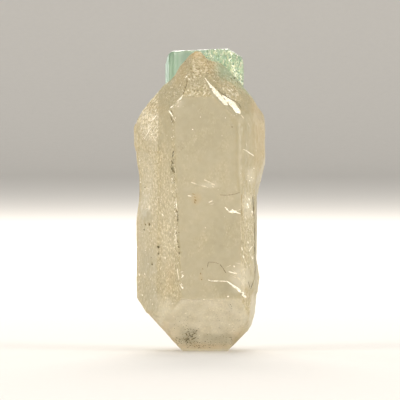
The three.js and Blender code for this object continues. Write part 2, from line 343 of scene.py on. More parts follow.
quartz = {
    "meshDepth": 8,  # how often the remesh grid halves
    # each face: azimuth, tilt and a point that it passes through, in mm
    "faces": {
        "front": (0, 0, (0, -14.3, 0)),
        "leftGrowth": (-41, -1.6, (-7.6, -14.3, 57)),
        "leftFront": (-60, -0.9, (-11.1, -11.3, 55)),
        "leftBack": (-120, 0.5, (-16.5, -1.2, 30)),
        "back": (180, 0, (0, 11.9, 0)),
        "rightBack": (120, 0, (12.2, 2.8, 20)),
        "rightRim": (88, 0, (11.9, -8.6, 20)),
        "rightFront": (60, 0, (8.5, -14.3, 20)),
        "upperFront": (0, rhomb, (0, -14.3, 60.8)),
        "upperLeft": (-55.5, 33.4, (-5.4, -14.3, 60.8)),
        "upperLeftBack": (-120, rhomb, (-9.5, -4.5, 63.8)),
        "upperBack": (180, rhomb, (-2.7, -5.7, 71.3)),
        "upperRightBack": (120, rhomb, (9.2, -2, 62)),
        "upperRight": (50.8, 39.2, (1.6, -14.3, 60.8)),
        "lowerFront": (0, -rhomb, (0, -14.3, 12.75)),
        "lowerLeft": (-66.8, -40.9, (-10.2, -10.9, 7.8)),
        "lowerLeftBack": (-103.3, -42.6, (-10.2, -4.8, 5)),
        "lowerBack": (180, -rhomb, (0, 4.8, 0)),
        "lowerRightBack": (104, -44.1, (5.4, -4.6, 0)),
        "lowerRight": (63.4, -41.8, (5.4, -4.6, 0)),
        "lowerRightRim": (78, -24, (10.6, -6, 6.2)),
        "lowerRightFlank": (84, -6, (11.3, -7, 13)),
        "foot": (0, -90, (0, 0, 0)),
    },
    "layerStep": 0.95,  # a later layer lies on the upper right face
    "layerRiser": (8, 20, (2, -10.8, 65)),
    "layerEnds": [(90, 38.1, (-1.0, 0, 71.35)), (90, 73.6, (0.5, 0, 69.4))],  # it steps down from the tip
    "shoulder": [
        (-57, 1, (-17, -2.2, 52)),
        (-112, 0, (-17, -1.8, 52)),
        (-68, 31.7, (-13.8, -3.3, 58.9)),
        (-100, 32, (-13.8, -3, 58.9)),
        (-62, -30, (-17, -2.2, 48.9)),
        (60, 0, (-11.2, -11.3, 55)),
        (180, 0, (0, 5, 0)),
    ],
    "lobe": [
        (59, 0, (8.9, -14, 40)),
        (90, 0, (14.2, -2, 45)),
        (122, 0, (14.2, 1.2, 45)),
        (68, 30, (11.8, -3.4, 59.2)),
        (84, -16, (13.7, -5, 44.8)),
        (70, -30, (12.1, -7, 40)),
        (155, 0, (9.5, 7.5, 45)),
        (-90, 0, (2, 0, 0)),
        (0, 0, (0, -10.2, 0)),
    ],
    "swelling": [
        (80, 13, (12.9, -6, 17.9)),
        (72, 0, (12.8, -6.5, 17.5)),
        (80, -11, (12.9, -6, 17.4)),
        (70, -48, (12.6, -6, 14.2)),
        (125, 0, (12.8, -5, 17.5)),
        (35, 0, (10.9, -10.5, 17.5)),
        (-90, 0, (8, 0, 0)),
    ],
    "finish": {  # grain from 0 smooth to 1 etched, relief in mm, milkiness
        "front": (0.08, 0.012, 0),
        "leftGrowth": (0.65, 0.045, 0),
        "leftFront": (0.65, 0.05, 0),
        "rightRim": (0.4, 0.06, 0),
        "rightFront": (0.8, 0.11, 0),
        "upperFront": (1.0, 0.1, 0),
        "upperLeft": (0.6, 0.05, 0),
        "upperRight": (0.95, 0.09, 0),
        "layerRiser": (0.0, 0.0, 0),
        # on the downward faces below, the milkiness is partly painted light from below
        "lowerFront": (0.4, 0.06, 0.4),
        "lowerLeft": (0.45, 0.06, 0.25),
        "lowerRightFlank": (0.35, 0.05, 0.25),
        "lowerRightRim": (0.35, 0.05, 0.25),
        "back": (0.3, 0.03, 0.1),
        "foot": (0.3, 0.0, 0.3),
        "lobe": (0.3, 0.035, 0),
        "swelling": (0.3, 0.035, 0.1),
        "shoulder": (1.0, 0.1, 0),
    },
    "plainFinish": (0.35, 0.05, 0.1),  # for every other face
    "finishReach": 0.5,  # a face's finish fades out this far from it, in mm
    "overlap": 0.1,  # how far the side growths sink into the faces that they share, in mm
    "waves": ((0.06, 7), (0.03, 2.2)),  # in every face: height and width in mm
    "pillow": 1.25,  # mm across an etched pillow
    "swell": (0.8, 1.1),  # a wave among the pillows: its share of the relief, and how many there are in a mm
    # upright ribs low on the right, and faint level lines across the rear prism faces
    "ribs": {"right": 8.7, "below": 40, "height": 0.14, "stretch": (1.3, 1.3, 0.12)},
    "growthLines": {"height": 0.07, "rear": (0, 4), "stretch": (0.12, 0.12, 0.8)},
    "flatFoot": 1.5,  # the relief starts above the foot and is whole at this height
    # where the growth left soft shapes: lowest and highest corner in mm, rounds of smoothing
    "softened": [
        ((5.5, -20, 38), (12.4, 20, 60), 30), ((6.5, -20, 40), (12.8, 20, 62), 40),
        ((8, -20, 42), (13.2, 20, 63.5), 50), ((12, -20, 53), (20, 20, 64), 30),
        ((12, -20, 46), (20, 20, 64), 6), ((9.5, -20, 9), (20, 20, 24), 8),
        ((4, -20, 0.3), (20, 20, 14), 14), ((-14, -20, 3), (-5, 20, 13), 30),
        ((-7, -16, 61.5), (7, 9, 75), 3), ((-20, -20, 47), (-14, 20, 62), 5),
        ((5, -20, 38), (20, 20, 64), 8),  # and one that blends them
    ],
    # an etched patch on the shoulder: its right and lower edge, and the slanting line where it fades out
    "patch": {"right": -11.1, "bottom": 49.9, "fadeFrom": (-16.7, 54.5), "fadeTo": (-13.7, 50),
              "front": (-2, -0.5), "milk": 0.06},
    "calmShoulder": {"right": -10, "bottom": 48, "grain": 0.6},  # the share of its grain round the patch
    # soft areas of the front: middle x and z in mm, half width, half height, strength
    "areas": {
        "stain": [
            # on the right lobe, the one at z 58 is painted shade that dulls a facet where the lamps catch it,
            # and the one at z 51 is its tan with painted shade
            (-2.4, 71, 1.8, 1.8, 0.3), (0.5, 68.5, 2.5, 2.5, 0.2), (-6, 66, 2.5, 3, 0.15),
            (6, 64.2, 2, 2, 0.15), (12.8, 51, 2.2, 9, 0.16), (12.6, 58, 2, 2.5, 0.25),
            (-16.8, 30, 1.2, 25, 0.15), (-8.4, 17.5, 1.2, 4, 0.12), (-11.6, 57.8, 2.6, 1.6, 0.1),
            (-9, 4.5, 3, 4, 0.1), (8.2, 3.5, 2.5, 2.5, 0.2), (0, 1.2, 8, 0.9, 0.3),
            (-13.3, 8.6, 1, 1, 0.25), (-12, 7, 1, 1, 0.28), (-10.5, 5.4, 1, 1, 0.3), (-9.1, 3.8, 1, 1, 0.3),
            (-7.8, 2.3, 1, 1, 0.3), (-2.2, 36.4, 1.1, 1.5, 0.22), (-1.1, 18, 0.5, 0.9, 0.15),
            (9.5, 14.3, 1.2, 2, 0.08),
        ],
        "shade": [
            (0, 54, 9, 9, 0.15), (0, 66, 9, 7, 0.16), (3.4, 65.4, 1.9, 2.4, 0.28),
            (5.4, 63.2, 1.6, 1.8, 0.15), (4.5, 28, 4, 6, 0.12), (4.6, 15.2, 2.6, 1.8, 0.25),
            (-13.2, 14.5, 2.5, 5, 0.12), (-8, 61, 2.6, 3.3, 0.12), (-4, 3.6, 3, 2.3, 0.3),
            (3, 2.9, 4.5, 1.6, 0.3), (-12.2, 9.5, 2, 2.4, 0.2), (-14, 21, 1.6, 3.2, 0.14),
            (-14.2, 32.3, 1.4, 1.6, 0.16), (-7.9, 56, 1.2, 2.5, 0.12), (12, 27, 0.5, 12, 0.25),
            (11.6, 35.2, 0.7, 2, 0.3), (-7.9, 43.5, 0.9, 2.2, 0.2),
        ],
        "milk": [
            # the one at the foot, at z 0.15, is a painted highlight along its lower edge
            (-9, 30, 2.2, 18, 0.1), (-9.2, 8.4, 3.6, 4.6, 0.3), (8.4, 17.8, 2.6, 3.5, 0.25),
            (10, 35, 1.5, 3, 0.2), (0, 0.15, 8, 0.7, 0.6), (-11, 6.5, 2.5, 3, 0.12),
            (1.2, 39.8, 2.4, 0.7, 0.15), (-6.3, 59, 0.9, 1.2, 0.14), (10.8, 42, 1.2, 2.2, 0.25),
        ],
        "polish": [  # these take the grain away
            (10, 50, 4.5, 12, 1), (-9, 53.5, 2.2, 6, 0.8), (-15.3, 27, 2, 13, 0.65),
            (-13.6, 21, 2.2, 4, 0.8), (-14, 32.2, 1.6, 1.8, 0.8), (-12.6, 13, 2.2, 4, 0.65),
            (10.8, 17.5, 1.5, 4, 0.8), (-8.8, 9, 3, 4.5, 0.5),
        ],
    },
    "fade": (0.3, 1.4),  # where an area starts to fade and has gone, as a share of its size
    "frontEnds": 2,  # the y at which they stop, and the green too
    "wander": (0.35, 2),  # how far their edges stray, and over how many mm
    "rear": (1, 5),  # where the back's own clouds start, and are whole
    # their strength, width in mm, a shift of the pattern, and the range of it that shows
    "rearClouds": {"milk": (0.26, 9, 0, (-0.3, 0.7)), "stain": (0.16, 7, 9, (-0.2, 0.8))},
    # green from the tourmaline: the mm of quartz over it where it starts and stops, and where it shows
    "mint": {"starts": (0.8, 2.6), "stops": (3, 6.5), "wander": (1.2, 1.5),
             "right": (1.5, 4), "left": (7, 8.5), "leftShare": 0.6, "up": (57, 62)},
    "unevenGrain": ((0.2, 1.5), (0.35, 6)),  # strength and width in mm: everywhere, and on smooth faces
    "pitShade": 0.8,
    "worn": [((-8.2, -5, 65.6), 3.2, 0.45), ((-16.5, -1.5, 39), 8.5, 0.75)],  # middle, radius and depth in mm
    # etch pits: x and z in mm, radius, depth
    "pits": [
        (-14.45, 39.1, 0.3, 0.2), (-14.28, 30.1, 0.25, 0.2), (-13.33, 30.2, 0.3, 0.25),
        (-14.59, 28.9, 0.25, 0.2), (-11.15, 25, 0.38, 0.4), (-11.18, 23.4, 0.25, 0.2),
        (-12.7, 20.8, 0.28, 0.2), (-7.76, 47, 0.3, 0.25), (-7.9, 45.1, 0.32, 0.3),
        (-7.83, 43.7, 0.42, 0.35), (-7.52, 43, 0.35, 0.3), (-6.81, 33.5, 0.26, 0.2),
        (-6.66, 31.5, 0.26, 0.2), (-6.93, 28.5, 0.28, 0.25), (-6.42, 25.1, 0.32, 0.25),
        (-6.18, 23.7, 0.28, 0.25),
    ],
    "pitFlare": 1.6,  # a pit's slopes reach this many times its radius
    # marks on the front, each with the x and z of both ends and its width in mm
    "bright": [
        # white chips and painted glints; the first ten make the painted highlight along the step on the upper
        # right
        (3.1, 60.8, 4.8, 59, 0.6), (3.9, 60, 5.2, 58.7, 0.5), (4.7, 60.2, 7, 58.4, 0.6),
        (6, 59.1, 8.2, 56.8, 0.85), (1.8, 62.5, 3.5, 60.7, 0.5), (-0.1, 65.1, 1.7, 62.5, 0.32),
        (0.9, 63.6, 3.9, 60.1, 1.05), (2.3, 61.9, 5.2, 58.7, 1.15), (4, 61, 6.5, 59.1, 0.8),
        (5.5, 59.9, 8.2, 56.7, 1.25), (-4.8, 65.1, -4.3, 65.7, 0.34), (-4.1, 65, -3.6, 64.6, 0.38),
        (-5.3, 61.1, -6.1, 60, 0.34), (-6, 60.3, -6.7, 59.6, 0.28), (-8.4, 58, -7.4, 58.8, 0.24),
        (-8.7, 57.5, -7.7, 56, 0.26), (5.3, 62.5, 5.9, 61.9, 0.32), (6.1, 62.5, 6.5, 62, 0.2),
        (-1.3, 55.9, -1.1, 55.9, 0.3), (4.6, 55.7, 4.8, 55.7, 0.3), (-3.2, 53, -2.9, 52.9, 0.26),
        (3.8, 51.5, 4, 51.5, 0.2), (1.6, 40.1, 2.2, 39.9, 0.22), (-4.3, 37.3, -3.3, 37.2, 0.28),
        (0.7, 35.7, 1.7, 36.1, 0.3), (4.6, 34.6, 5.5, 33.6, 0.26), (5.5, 33.4, 7.4, 33.6, 0.6),
        (6.2, 34.1, 6.7, 33.6, 0.3), (7.1, 33.4, 8.3, 33, 0.24), (0.6, 17.4, 1.3, 17.1, 0.22),
        (1.2, 17.1, 3.3, 17.1, 0.2), (3.1, 17.1, 5.2, 17, 0.22), (5, 17.1, 6.7, 15.9, 0.3),
        (6.2, 16.2, 8.3, 14.7, 0.52), (7.4, 15.5, 9.6, 13.1, 0.6), (8.4, 14.6, 9.4, 14, 0.24),
        (6.6, 20.7, 7, 20.4, 0.34), (5.5, 19.3, 7.5, 18.8, 0.24), (-0.6, 12.7, -0.1, 12.7, 0.32),
        (5.1, 13.5, 5.6, 13.4, 0.42), (9.9, 35.5, 10.1, 34.3, 0.4), (10.2, 36.8, 10.4, 36, 0.3),
        (11, 33.6, 11.2, 32.9, 0.34), (10.3, 24, 11, 25.1, 0.32), (10.9, 22.9, 11.2, 22.1, 0.34),
        (10, 26.5, 10.2, 25.7, 0.22), (8.6, 25.2, 8.7, 24.2, 0.24), (8.9, 23.2, 9.1, 22.3, 0.32),
        (9.8, 47.8, 11.2, 46.8, 0.22), (11.1, 47, 11.5, 46.5, 0.2), (11.4, 43.8, 11.6, 43.6, 0.26),
        (10, 42.1, 10.2, 41.9, 0.28), (10.8, 41.6, 11, 41.4, 0.3), (10.4, 40.9, 10.5, 40.6, 0.26),
        (-7, 36.2, -6.8, 34.1, 0.22), (-7, 28, -7, 25.9, 0.22), (-6.7, 20, -6.3, 17.4, 0.22),
        (-5.8, 17.8, -5.1, 18.5, 0.24), (-5.6, 18.9, -5.3, 17.9, 0.2), (-6.1, 16.4, -5.3, 15.2, 0.28),
        (-5.8, 16.7, -5.5, 16, 0.2), (-8.1, 41.5, -7.8, 41.1, 0.26), (-15.6, 40.3, -15.4, 40.1, 0.26),
        (-10.3, 33, -10, 32.3, 0.28), (-9.6, 22.8, -9.5, 22.1, 0.28), (-16.4, 25, -16.2, 24.5, 0.22),
        (-15.8, 18.5, -15.7, 17.8, 0.28), (-15.1, 13.5, -15, 13.1, 0.24), (-14.2, 51.2, -12.7, 53.6, 0.17),
        (-13.1, 54.8, -11.8, 56, 0.15), (-12.4, 55.2, -11.4, 56.6, 0.16), (-13.9, 52.8, -13, 54.1, 0.18),
    ],
    "veils": [
        (-1.5, 65.8, -0.9, 65.5, 0.22), (-7.9, 56.2, -7.2, 55, 0.2), (5.8, 62, 6.7, 61, 0.26),
        (6.6, 61.5, 7.4, 60.6, 0.2), (-6.3, 59.6, -7.2, 58.3, 0.34), (-6.9, 59.2, -7.4, 58.8, 0.26),
        (8.3, 56.5, 9.1, 55.5, 0.2), (-3.5, 40.5, -1.2, 39.7, 0.3), (-0.3, 41, 2.2, 39.8, 0.42),
        (-1, 39.7, 0.6, 39.2, 0.3), (1.5, 39.6, 2, 39.2, 0.28), (1, 35.2, 2, 35.4, 0.12),
        (2.9, 38.8, 3.1, 38.6, 0.25), (7.5, 33.7, 8.3, 34.1, 0.16), (4.4, 32.4, 4.6, 32.3, 0.22),
        (-0.1, 29.9, 0, 29.5, 0.3), (6.3, 19.6, 8, 18.7, 0.12), (6.6, 18.6, 8.5, 17.4, 0.14),
        (7.3, 18.1, 8.9, 16.6, 0.16), (5.8, 18.5, 7.3, 17.8, 0.12), (7.9, 19.2, 9, 18.1, 0.14),
        (8.4, 17.1, 9.3, 15.6, 0.18), (4.9, 20.3, 6.1, 20.9, 0.12), (7, 21.4, 8.5, 21.1, 0.12),
        (-6.4, 12.7, -3.7, 12.7, 0.12), (-3.7, 12.7, -0.6, 12.7, 0.13), (-0.6, 12.7, 2, 12.8, 0.12),
        (1.8, 12.8, 4.3, 12.9, 0.1), (9.5, 34.8, 9.8, 33.9, 0.28), (10.5, 35.9, 10.8, 34.6, 0.26),
        (9.3, 37.5, 9.7, 36.3, 0.26), (10.7, 33.1, 10.9, 32.1, 0.2), (11.3, 28.2, 11.5, 27.4, 0.22),
        (11.2, 25.8, 11.5, 25.1, 0.2), (9.4, 32.7, 9.6, 31.2, 0.18), (10.1, 31, 10.2, 29.3, 0.2),
        (10.8, 30, 10.9, 28.6, 0.16), (9.4, 27.7, 9.6, 26.5, 0.18), (9.7, 21.4, 9.9, 20, 0.18),
        (10.6, 21.2, 10.7, 19.5, 0.16), (8.3, 30.4, 8.4, 28.8, 0.14), (8.3, 23.8, 8.4, 23.1, 0.16),
        (8.2, 32, 8.3, 30.6, 0.1), (8.4, 28.4, 8.5, 26.8, 0.12), (8.8, 48.3, 10.1, 47.7, 0.22),
        (9.7, 49.7, 9.8, 48.8, 0.14), (11.6, 51.3, 11.9, 49.6, 0.14), (11.9, 49.7, 12.1, 47.7, 0.1),
        (10, 54.5, 10.5, 53.6, 0.16), (10.3, 44.1, 10.5, 43.9, 0.28), (10.6, 42.9, 10.8, 42.6, 0.28),
        (11, 43.4, 11.2, 43.2, 0.26), (10.1, 43.2, 10.2, 43, 0.24), (11.3, 41.4, 11.5, 41.1, 0.24),
        (11, 40.7, 11.2, 40.5, 0.26), (10.6, 40.3, 10.8, 39.9, 0.24), (9.7, 41.2, 9.9, 40.8, 0.22),
        (6, 56.5, 6.2, 56.3, 0.34), (6.7, 56.3, 6.9, 56.1, 0.3), (7.3, 56.6, 7.5, 56.4, 0.28),
        (-6.8, 33.2, -6.7, 32.1, 0.2), (-6.7, 30.1, -6.6, 29.6, 0.2), (-6.5, 21.6, -6.4, 21.2, 0.28),
        (-6.1, 19.1, -5.2, 19.4, 0.18), (-6.3, 15.6, -5.8, 14.8, 0.22), (-5.2, 15.8, -5.4, 14.9, 0.2),
        (-7.2, 44, -7.1, 42.6, 0.2), (-7.8, 42, -7.6, 41.5, 0.2), (-6.8, 39.2, -6.7, 38, 0.2),
        (-7.2, 55.9, -7.1, 55.5, 0.26), (-10.3, 52.4, -10.2, 52.1, 0.26), (-9.2, 51.7, -9, 51.4, 0.26),
        (-13.7, 45.2, -13.6, 44.3, 0.24), (-14.1, 39, -13.1, 38.5, 0.16), (-13.4, 35, -13.4, 33.7, 0.45),
        (-10.1, 14.5, -9.8, 14, 0.28), (-15.7, 28.7, -15.6, 28.3, 0.26), (-11.8, 35.5, -11.8, 34.5, 0.22),
        (-10.1, 8.7, -9.9, 7.8, 0.24), (-12.6, 31.5, -12.5, 30.8, 0.2), (-14.8, 55.4, -13.6, 56.6, 0.22),
        (-12.8, 51.9, -11.4, 53.9, 0.22), (-13.5, 50.2, -12.1, 52.1, 0.22),
        (-12.3, 50.3, -11.3, 51.4, 0.22),
    ],
    "dirtAndShade": [
        # clay in pits and cracks, with painted shade in the pits; rows two to five are a painted shadow line
        # along the upper side of the step
        (4.2, 60.6, 4.8, 59.6, 0.3), (2.8, 62.4, 4.5, 60.9, 0.12), (3.8, 61.5, 6.1, 60, 0.15),
        (6.1, 60.1, 7.8, 59.1, 0.12), (7.8, 59.1, 8.5, 57.9, 0.1), (-8.2, 56.1, -7.8, 54.6, 0.24),
        (-8.1, 57.5, -7.9, 56.9, 0.2), (-7.7, 55.4, -7.4, 54.5, 0.18), (-7.6, 47.9, -7.7, 47.3, 0.24),
        (-7.8, 46.9, -7.9, 46.3, 0.22), (-8, 45.7, -8.1, 45.2, 0.26), (-8.1, 45.1, -7.7, 44.9, 0.38),
        (-7.9, 44.8, -8, 44.3, 0.16), (-8.1, 43.9, -7.8, 43.2, 0.32), (-7.8, 43.4, -7.3, 42.7, 0.26),
        (-6.5, 48.9, -6.4, 48.8, 0.16), (-5.7, 48.2, -5.6, 48.1, 0.16), (-6.2, 47.7, -6.1, 47.6, 0.15),
        (-5.4, 48.7, -5.3, 48.5, 0.14), (-6.8, 33.9, -6.7, 33.2, 0.28), (-6.7, 33, -6.6, 31.1, 0.15),
        (-7, 28.7, -6.8, 28.3, 0.38), (-6.4, 28.7, -6.2, 28.5, 0.2), (-6.5, 25.4, -6.3, 24.9, 0.3),
        (-6.3, 23.9, -6.2, 23.5, 0.32), (-6.7, 26.8, -6.5, 26.1, 0.18), (-14.5, 39.1, -14.3, 38.9, 0.32),
        (-14.3, 30.4, -14.2, 30, 0.26), (-13.4, 30.7, -13.3, 29.9, 0.32), (-14.7, 29.1, -14.5, 28.8, 0.26),
        (-15.2, 30.2, -15.1, 30, 0.16), (-11.3, 25.4, -11.1, 24.6, 0.48), (-11.2, 23.6, -11.1, 23.2, 0.22),
        (-12.8, 21, -12.6, 20.6, 0.26), (-12.9, 22.5, -12.8, 22.3, 0.14), (6.1, 53.6, 6.5, 53.5, 0.22),
        (11.7, 23, 11.8, 20.4, 0.13), (11.8, 20.5, 11.7, 17.5, 0.13), (11.7, 17.7, 10.7, 15, 0.12),
        (10.1, 17, 10.6, 15.2, 0.09), (5.5, 11.4, 5.6, 11.3, 0.15), (5.8, 11.5, 6, 11.4, 0.13),
        (6.1, 11.1, 6.3, 11, 0.14), (5.8, 10.7, 5.9, 10.6, 0.14), (6.2, 10.6, 6.3, 10.4, 0.13),
        (5.6, 11, 5.7, 10.9, 0.12),
    ],
    "rust": [
        (-3.2, 37.8, -2.5, 37.5, 0.24), (-2.8, 37.1, -2.2, 36.8, 0.2), (-2.7, 36.5, -2.1, 36, 0.38),
        (-2.6, 36.1, -2.4, 35.4, 0.28), (-1.2, 19.1, -1.1, 18.6, 0.24), (-1, 17.6, -0.8, 17.3, 0.24),
        (-0.7, 20.2, -0.6, 19.8, 0.18), (8.5, 37.8, 8.6, 35.1, 0.1), (8.6, 35.4, 8.5, 32.2, 0.1),
    ],
    "cracks": [  # points along each, and its width
        ([(-4.3, 64.8), (-4.4, 63.9), (-4.8, 62.5), (-5.3, 61.3)], 0.18),
        ([(3.3, 37.5), (5.1, 37.4), (6.7, 37.6), (8.2, 38.1)], 0.11),
        ([(0.4, 20.2), (0.7, 21.6), (2.3, 21.5), (3.3, 21.1)], 0.1),
        ([(3.4, 21.1), (4.1, 20.2), (4.9, 18.9)], 0.17),
        ([(11.2, 37.1), (11.6, 31.1), (11.7, 26.1), (11.7, 23)], 0.14),
    ],
    # slivers strewn at random: azimuth they are seen from, slots, count, across, up, length, width, lean
    "strewn": [
        # slot 1 gives white chips and painted glints, slot 2 dark specks and pits with painted shade, slot 3
        # pale veils
        (0, (1, 3), 34, (-7.4, -6.9), (24, 38), (0.2, 0.6), (0.1, 0.2), 88),
        (0, (1, 3), 20, (-8.1, -7.3), (38, 56), (0.2, 0.5), (0.1, 0.2), 88),
        (0, (1, 3, 3), 60, (-16.2, -8.2), (9, 48), (0.15, 0.5), (0.1, 0.22), 86),
        (0, (3,), 26, (8.9, 11.6), (14, 38), (0.2, 0.6), (0.1, 0.2), 80),
        (0, (1, 3), 90, (-15.4, -11.2), (50.4, 57.5), (0.3, 1.1), (0.05, 0.11), 55),
        (0, (1, 3), 60, (-15.4, -11.2), (50.4, 57.5), (0.2, 0.8), (0.05, 0.11), -45),
        (0, (3, 3, 1, 2), 90, (-5, 3), (60.8, 69.5), (0.15, 0.4), (0.1, 0.22), 30),
        (0, (3, 3, 1, 2), 50, (2.5, 8), (60, 65.5), (0.15, 0.45), (0.1, 0.2), -40),
        (0, (3, 3, 1), 40, (-9.5, -5), (58, 66), (0.12, 0.35), (0.1, 0.2), 50),
        (0, (2,), 30, (-7.9, -7.2), (40, 47), (0.1, 0.3), (0.08, 0.18), 80),
        (0, (2,), 24, (-7.2, -6.3), (22, 38), (0.1, 0.3), (0.08, 0.18), 85),
        (0, (2,), 40, (-5.4, -1.6), (2.0, 5.6), (0.14, 0.4), (0.1, 0.24), 30),
        (0, (2,), 36, (-4.6, -2.4), (2.6, 4.8), (0.14, 0.42), (0.12, 0.26), 30),
        (0, (2,), 34, (-7.3, -3.6), (1.6, 3.4), (0.12, 0.36), (0.1, 0.2), -30),
        (0, (2,), 44, (-4.4, 2.0), (0.7, 2.4), (0.12, 0.32), (0.08, 0.18), 10),
        (0, (2,), 44, (-0.6, 6.4), (1.2, 4.2), (0.1, 0.26), (0.07, 0.15), 20),
        (0, (2,), 30, (2.4, 8.4), (2.6, 11.4), (0.1, 0.22), (0.06, 0.12), 20),
        (0, (2,), 20, (-7.4, -2.0), (5, 8.5), (0.1, 0.24), (0.06, 0.13), 20),
        (0, (3, 3, 1), 70, (-8.5, 7.5), (1.2, 12.4), (0.15, 0.5), (0.07, 0.16), 15),
        (-120, (1, 3, 3), 60, (-12, 8), (8, 62), (0.2, 0.7), (0.1, 0.25), 85),
        (120, (1, 3, 3), 60, (-8, 12), (8, 60), (0.2, 0.7), (0.1, 0.25), 85),
        (180, (1, 3, 3, 2), 90, (-11, 14), (8, 66), (0.2, 0.9), (0.1, 0.3), 70),
        (180, (2,), 40, (-6, 6), (6, 16), (0.1, 0.3), (0.08, 0.18), 30),
    ],
}


def quartzShape():  # the crystal with its parallel growths, and each face with its finish
    faces = quartz["faces"]
    step, overlap = quartz["layerStep"], quartz["overlap"]
    layered = dict(faces, upperRight=outwards(*faces["upperRight"], step), layerRiser=quartz["layerRiser"])
    layers = [list(layered.values()) + [end] for end in quartz["layerEnds"]]
    lobe = quartz["lobe"] + [outwards(*faces["upperRight"], step - overlap),
                             outwards(*faces["upperRightBack"], -overlap), quartz["layerEnds"][1]]
    shoulder = quartz["shoulder"] + [outwards(*faces["upperLeft"], -overlap),
                                     outwards(*faces["upperLeftBack"], -overlap)]
    named = list(layered.items()) + [("underLayers", faces["upperRight"])]
    named += [(name, each) for name in ("lobe", "swelling") for each in quartz[name]]
    named.append(("shoulder", shoulder[0]))
    finishes = [(normalOf(azimuth, tilt), Vector(point), quartz["finish"].get(name, quartz["plainFinish"]))
                for name, (azimuth, tilt, point) in named]
    body = cutBlock(faces.values())
    blocks = [cutBlock(each) for each in (*layers, lobe, shoulder, quartz["swelling"])]
    return joined(body, blocks, "UNION"), finishes


def finishesOf(mesh, finishes):  # the grain, relief and milkiness of the faces that each vertex lies on
    points = numpy.empty(len(mesh.vertices) * 3)
    mesh.vertices.foreach_get("co", points)
    points = points.reshape(-1, 3) / mm
    normals = numpy.array([vert.normal for vert in mesh.vertices])
    total = numpy.full(len(points), 1e-6)
    found = numpy.outer(total, quartz["plainFinish"])
    for facing, foot, finish in finishes:
        turned = numpy.clip(normals @ facing, 0, 1)
        off = numpy.abs((points - foot) @ facing)
        weight = numpy.clip(1 - off / quartz["finishReach"], 0, 1) * turned ** 8 * (turned > 0.6)
        total += weight
        found += numpy.outer(weight, finish)
    return (found / total[:, None]).T


def shapeQuartz(piece, finishes):  # soften the edges, then press the relief and the pits in
    tree = softenedMesh(piece, quartz["softened"])
    mesh = piece.data
    grain, relief, milk = finishesOf(mesh, finishes)
    dents = [(surfaceAt(tree, x, z)[0] / mm, radius, depth) for x, z, radius, depth in quartz["pits"]]
    ribs, lines, (swell, finer) = quartz["ribs"], quartz["growthLines"], quartz["swell"]
    normals = [vert.normal.copy() for vert in mesh.vertices]
    for vert, normal, height in zip(mesh.vertices, normals, relief):
        point = vert.co / mm
        lift = sum(tall * noise.noise(point / wide) for tall, wide in quartz["waves"])
        lift += height * (etched(point, quartz["pillow"]) + swell * noise.noise(point * finer))
        if point.x > ribs["right"] and point.y < 0 and point.z < ribs["below"]:
            lift += ribs["height"] * noise.noise(stretched(point, ribs["stretch"]))
        if point.y > 0:
            upright = smooth(0.6, 0.9, 1 - abs(normal.z))
            level = noise.noise(stretched(point, lines["stretch"]))
            lift += lines["height"] * smooth(*lines["rear"], point.y) * upright * level
        lift *= smooth(0, quartz["flatFoot"], point.z)
        for middle, radius, depth in quartz["worn"]:
            lift -= depth * (1 - smooth(0.2, 1, (point - Vector(middle)).length / radius))
        for middle, radius, depth in dents:
            flare = radius * quartz["pitFlare"]
            if abs(point.z - middle.z) < 1 and (point - middle).length < flare:
                lift -= depth * (1 - (point - middle).length / flare) ** 0.7
        vert.co += normal * lift * mm
    markQuartz(mesh, grain, milk, dents)


def patchAt(point):  # how much of the shoulder's etched patch there is at a point
    patch = quartz["patch"]
    (fromX, fromZ), (toX, toZ) = patch["fadeFrom"], patch["fadeTo"]
    side = (point.x - fromX) * (fromZ - toZ) + (point.z - fromZ) * (toX - fromX)
    fade = smooth(-0.6, 1.6, side / math.hypot(toX - fromX, toZ - fromZ))
    fade *= 1 - smooth(-0.15, 0.15, point.x - patch["right"])
    fade *= smooth(-0.5, 0.5, point.z - patch["bottom"])
    return fade * (1 - smooth(*patch["front"], point.y))


def areaAt(point, listed, wobble):  # the strongest of some soft areas at a point
    amount = 0
    for x, z, halfWidth, halfHeight, strength in listed:
        if abs(point.z - z) < halfHeight * 2 and abs(point.x - x) < halfWidth * 2:
            away = math.hypot((point.x - x) / halfWidth, (point.z - z) / halfHeight) * wobble
            amount = max(amount, strength * (1 - smooth(*quartz["fade"], away)))
    return amount


def mintThrough(point, walls):  # how much of the tourmaline shows where the quartz over it is thin
    mint = quartz["mint"]
    stray, strayWidth = mint["wander"]
    over = max((point - foot).dot(facing) for facing, foot in walls) + stray * noise.noise(point / strayWidth)
    thin = smooth(*mint["starts"], over) * (1 - smooth(*mint["stops"], over))
    sides = max(smooth(*mint["right"], point.x), mint["leftShare"] * smooth(*mint["left"], -point.x))
    return thin * sides * smooth(*mint["up"], point.z)


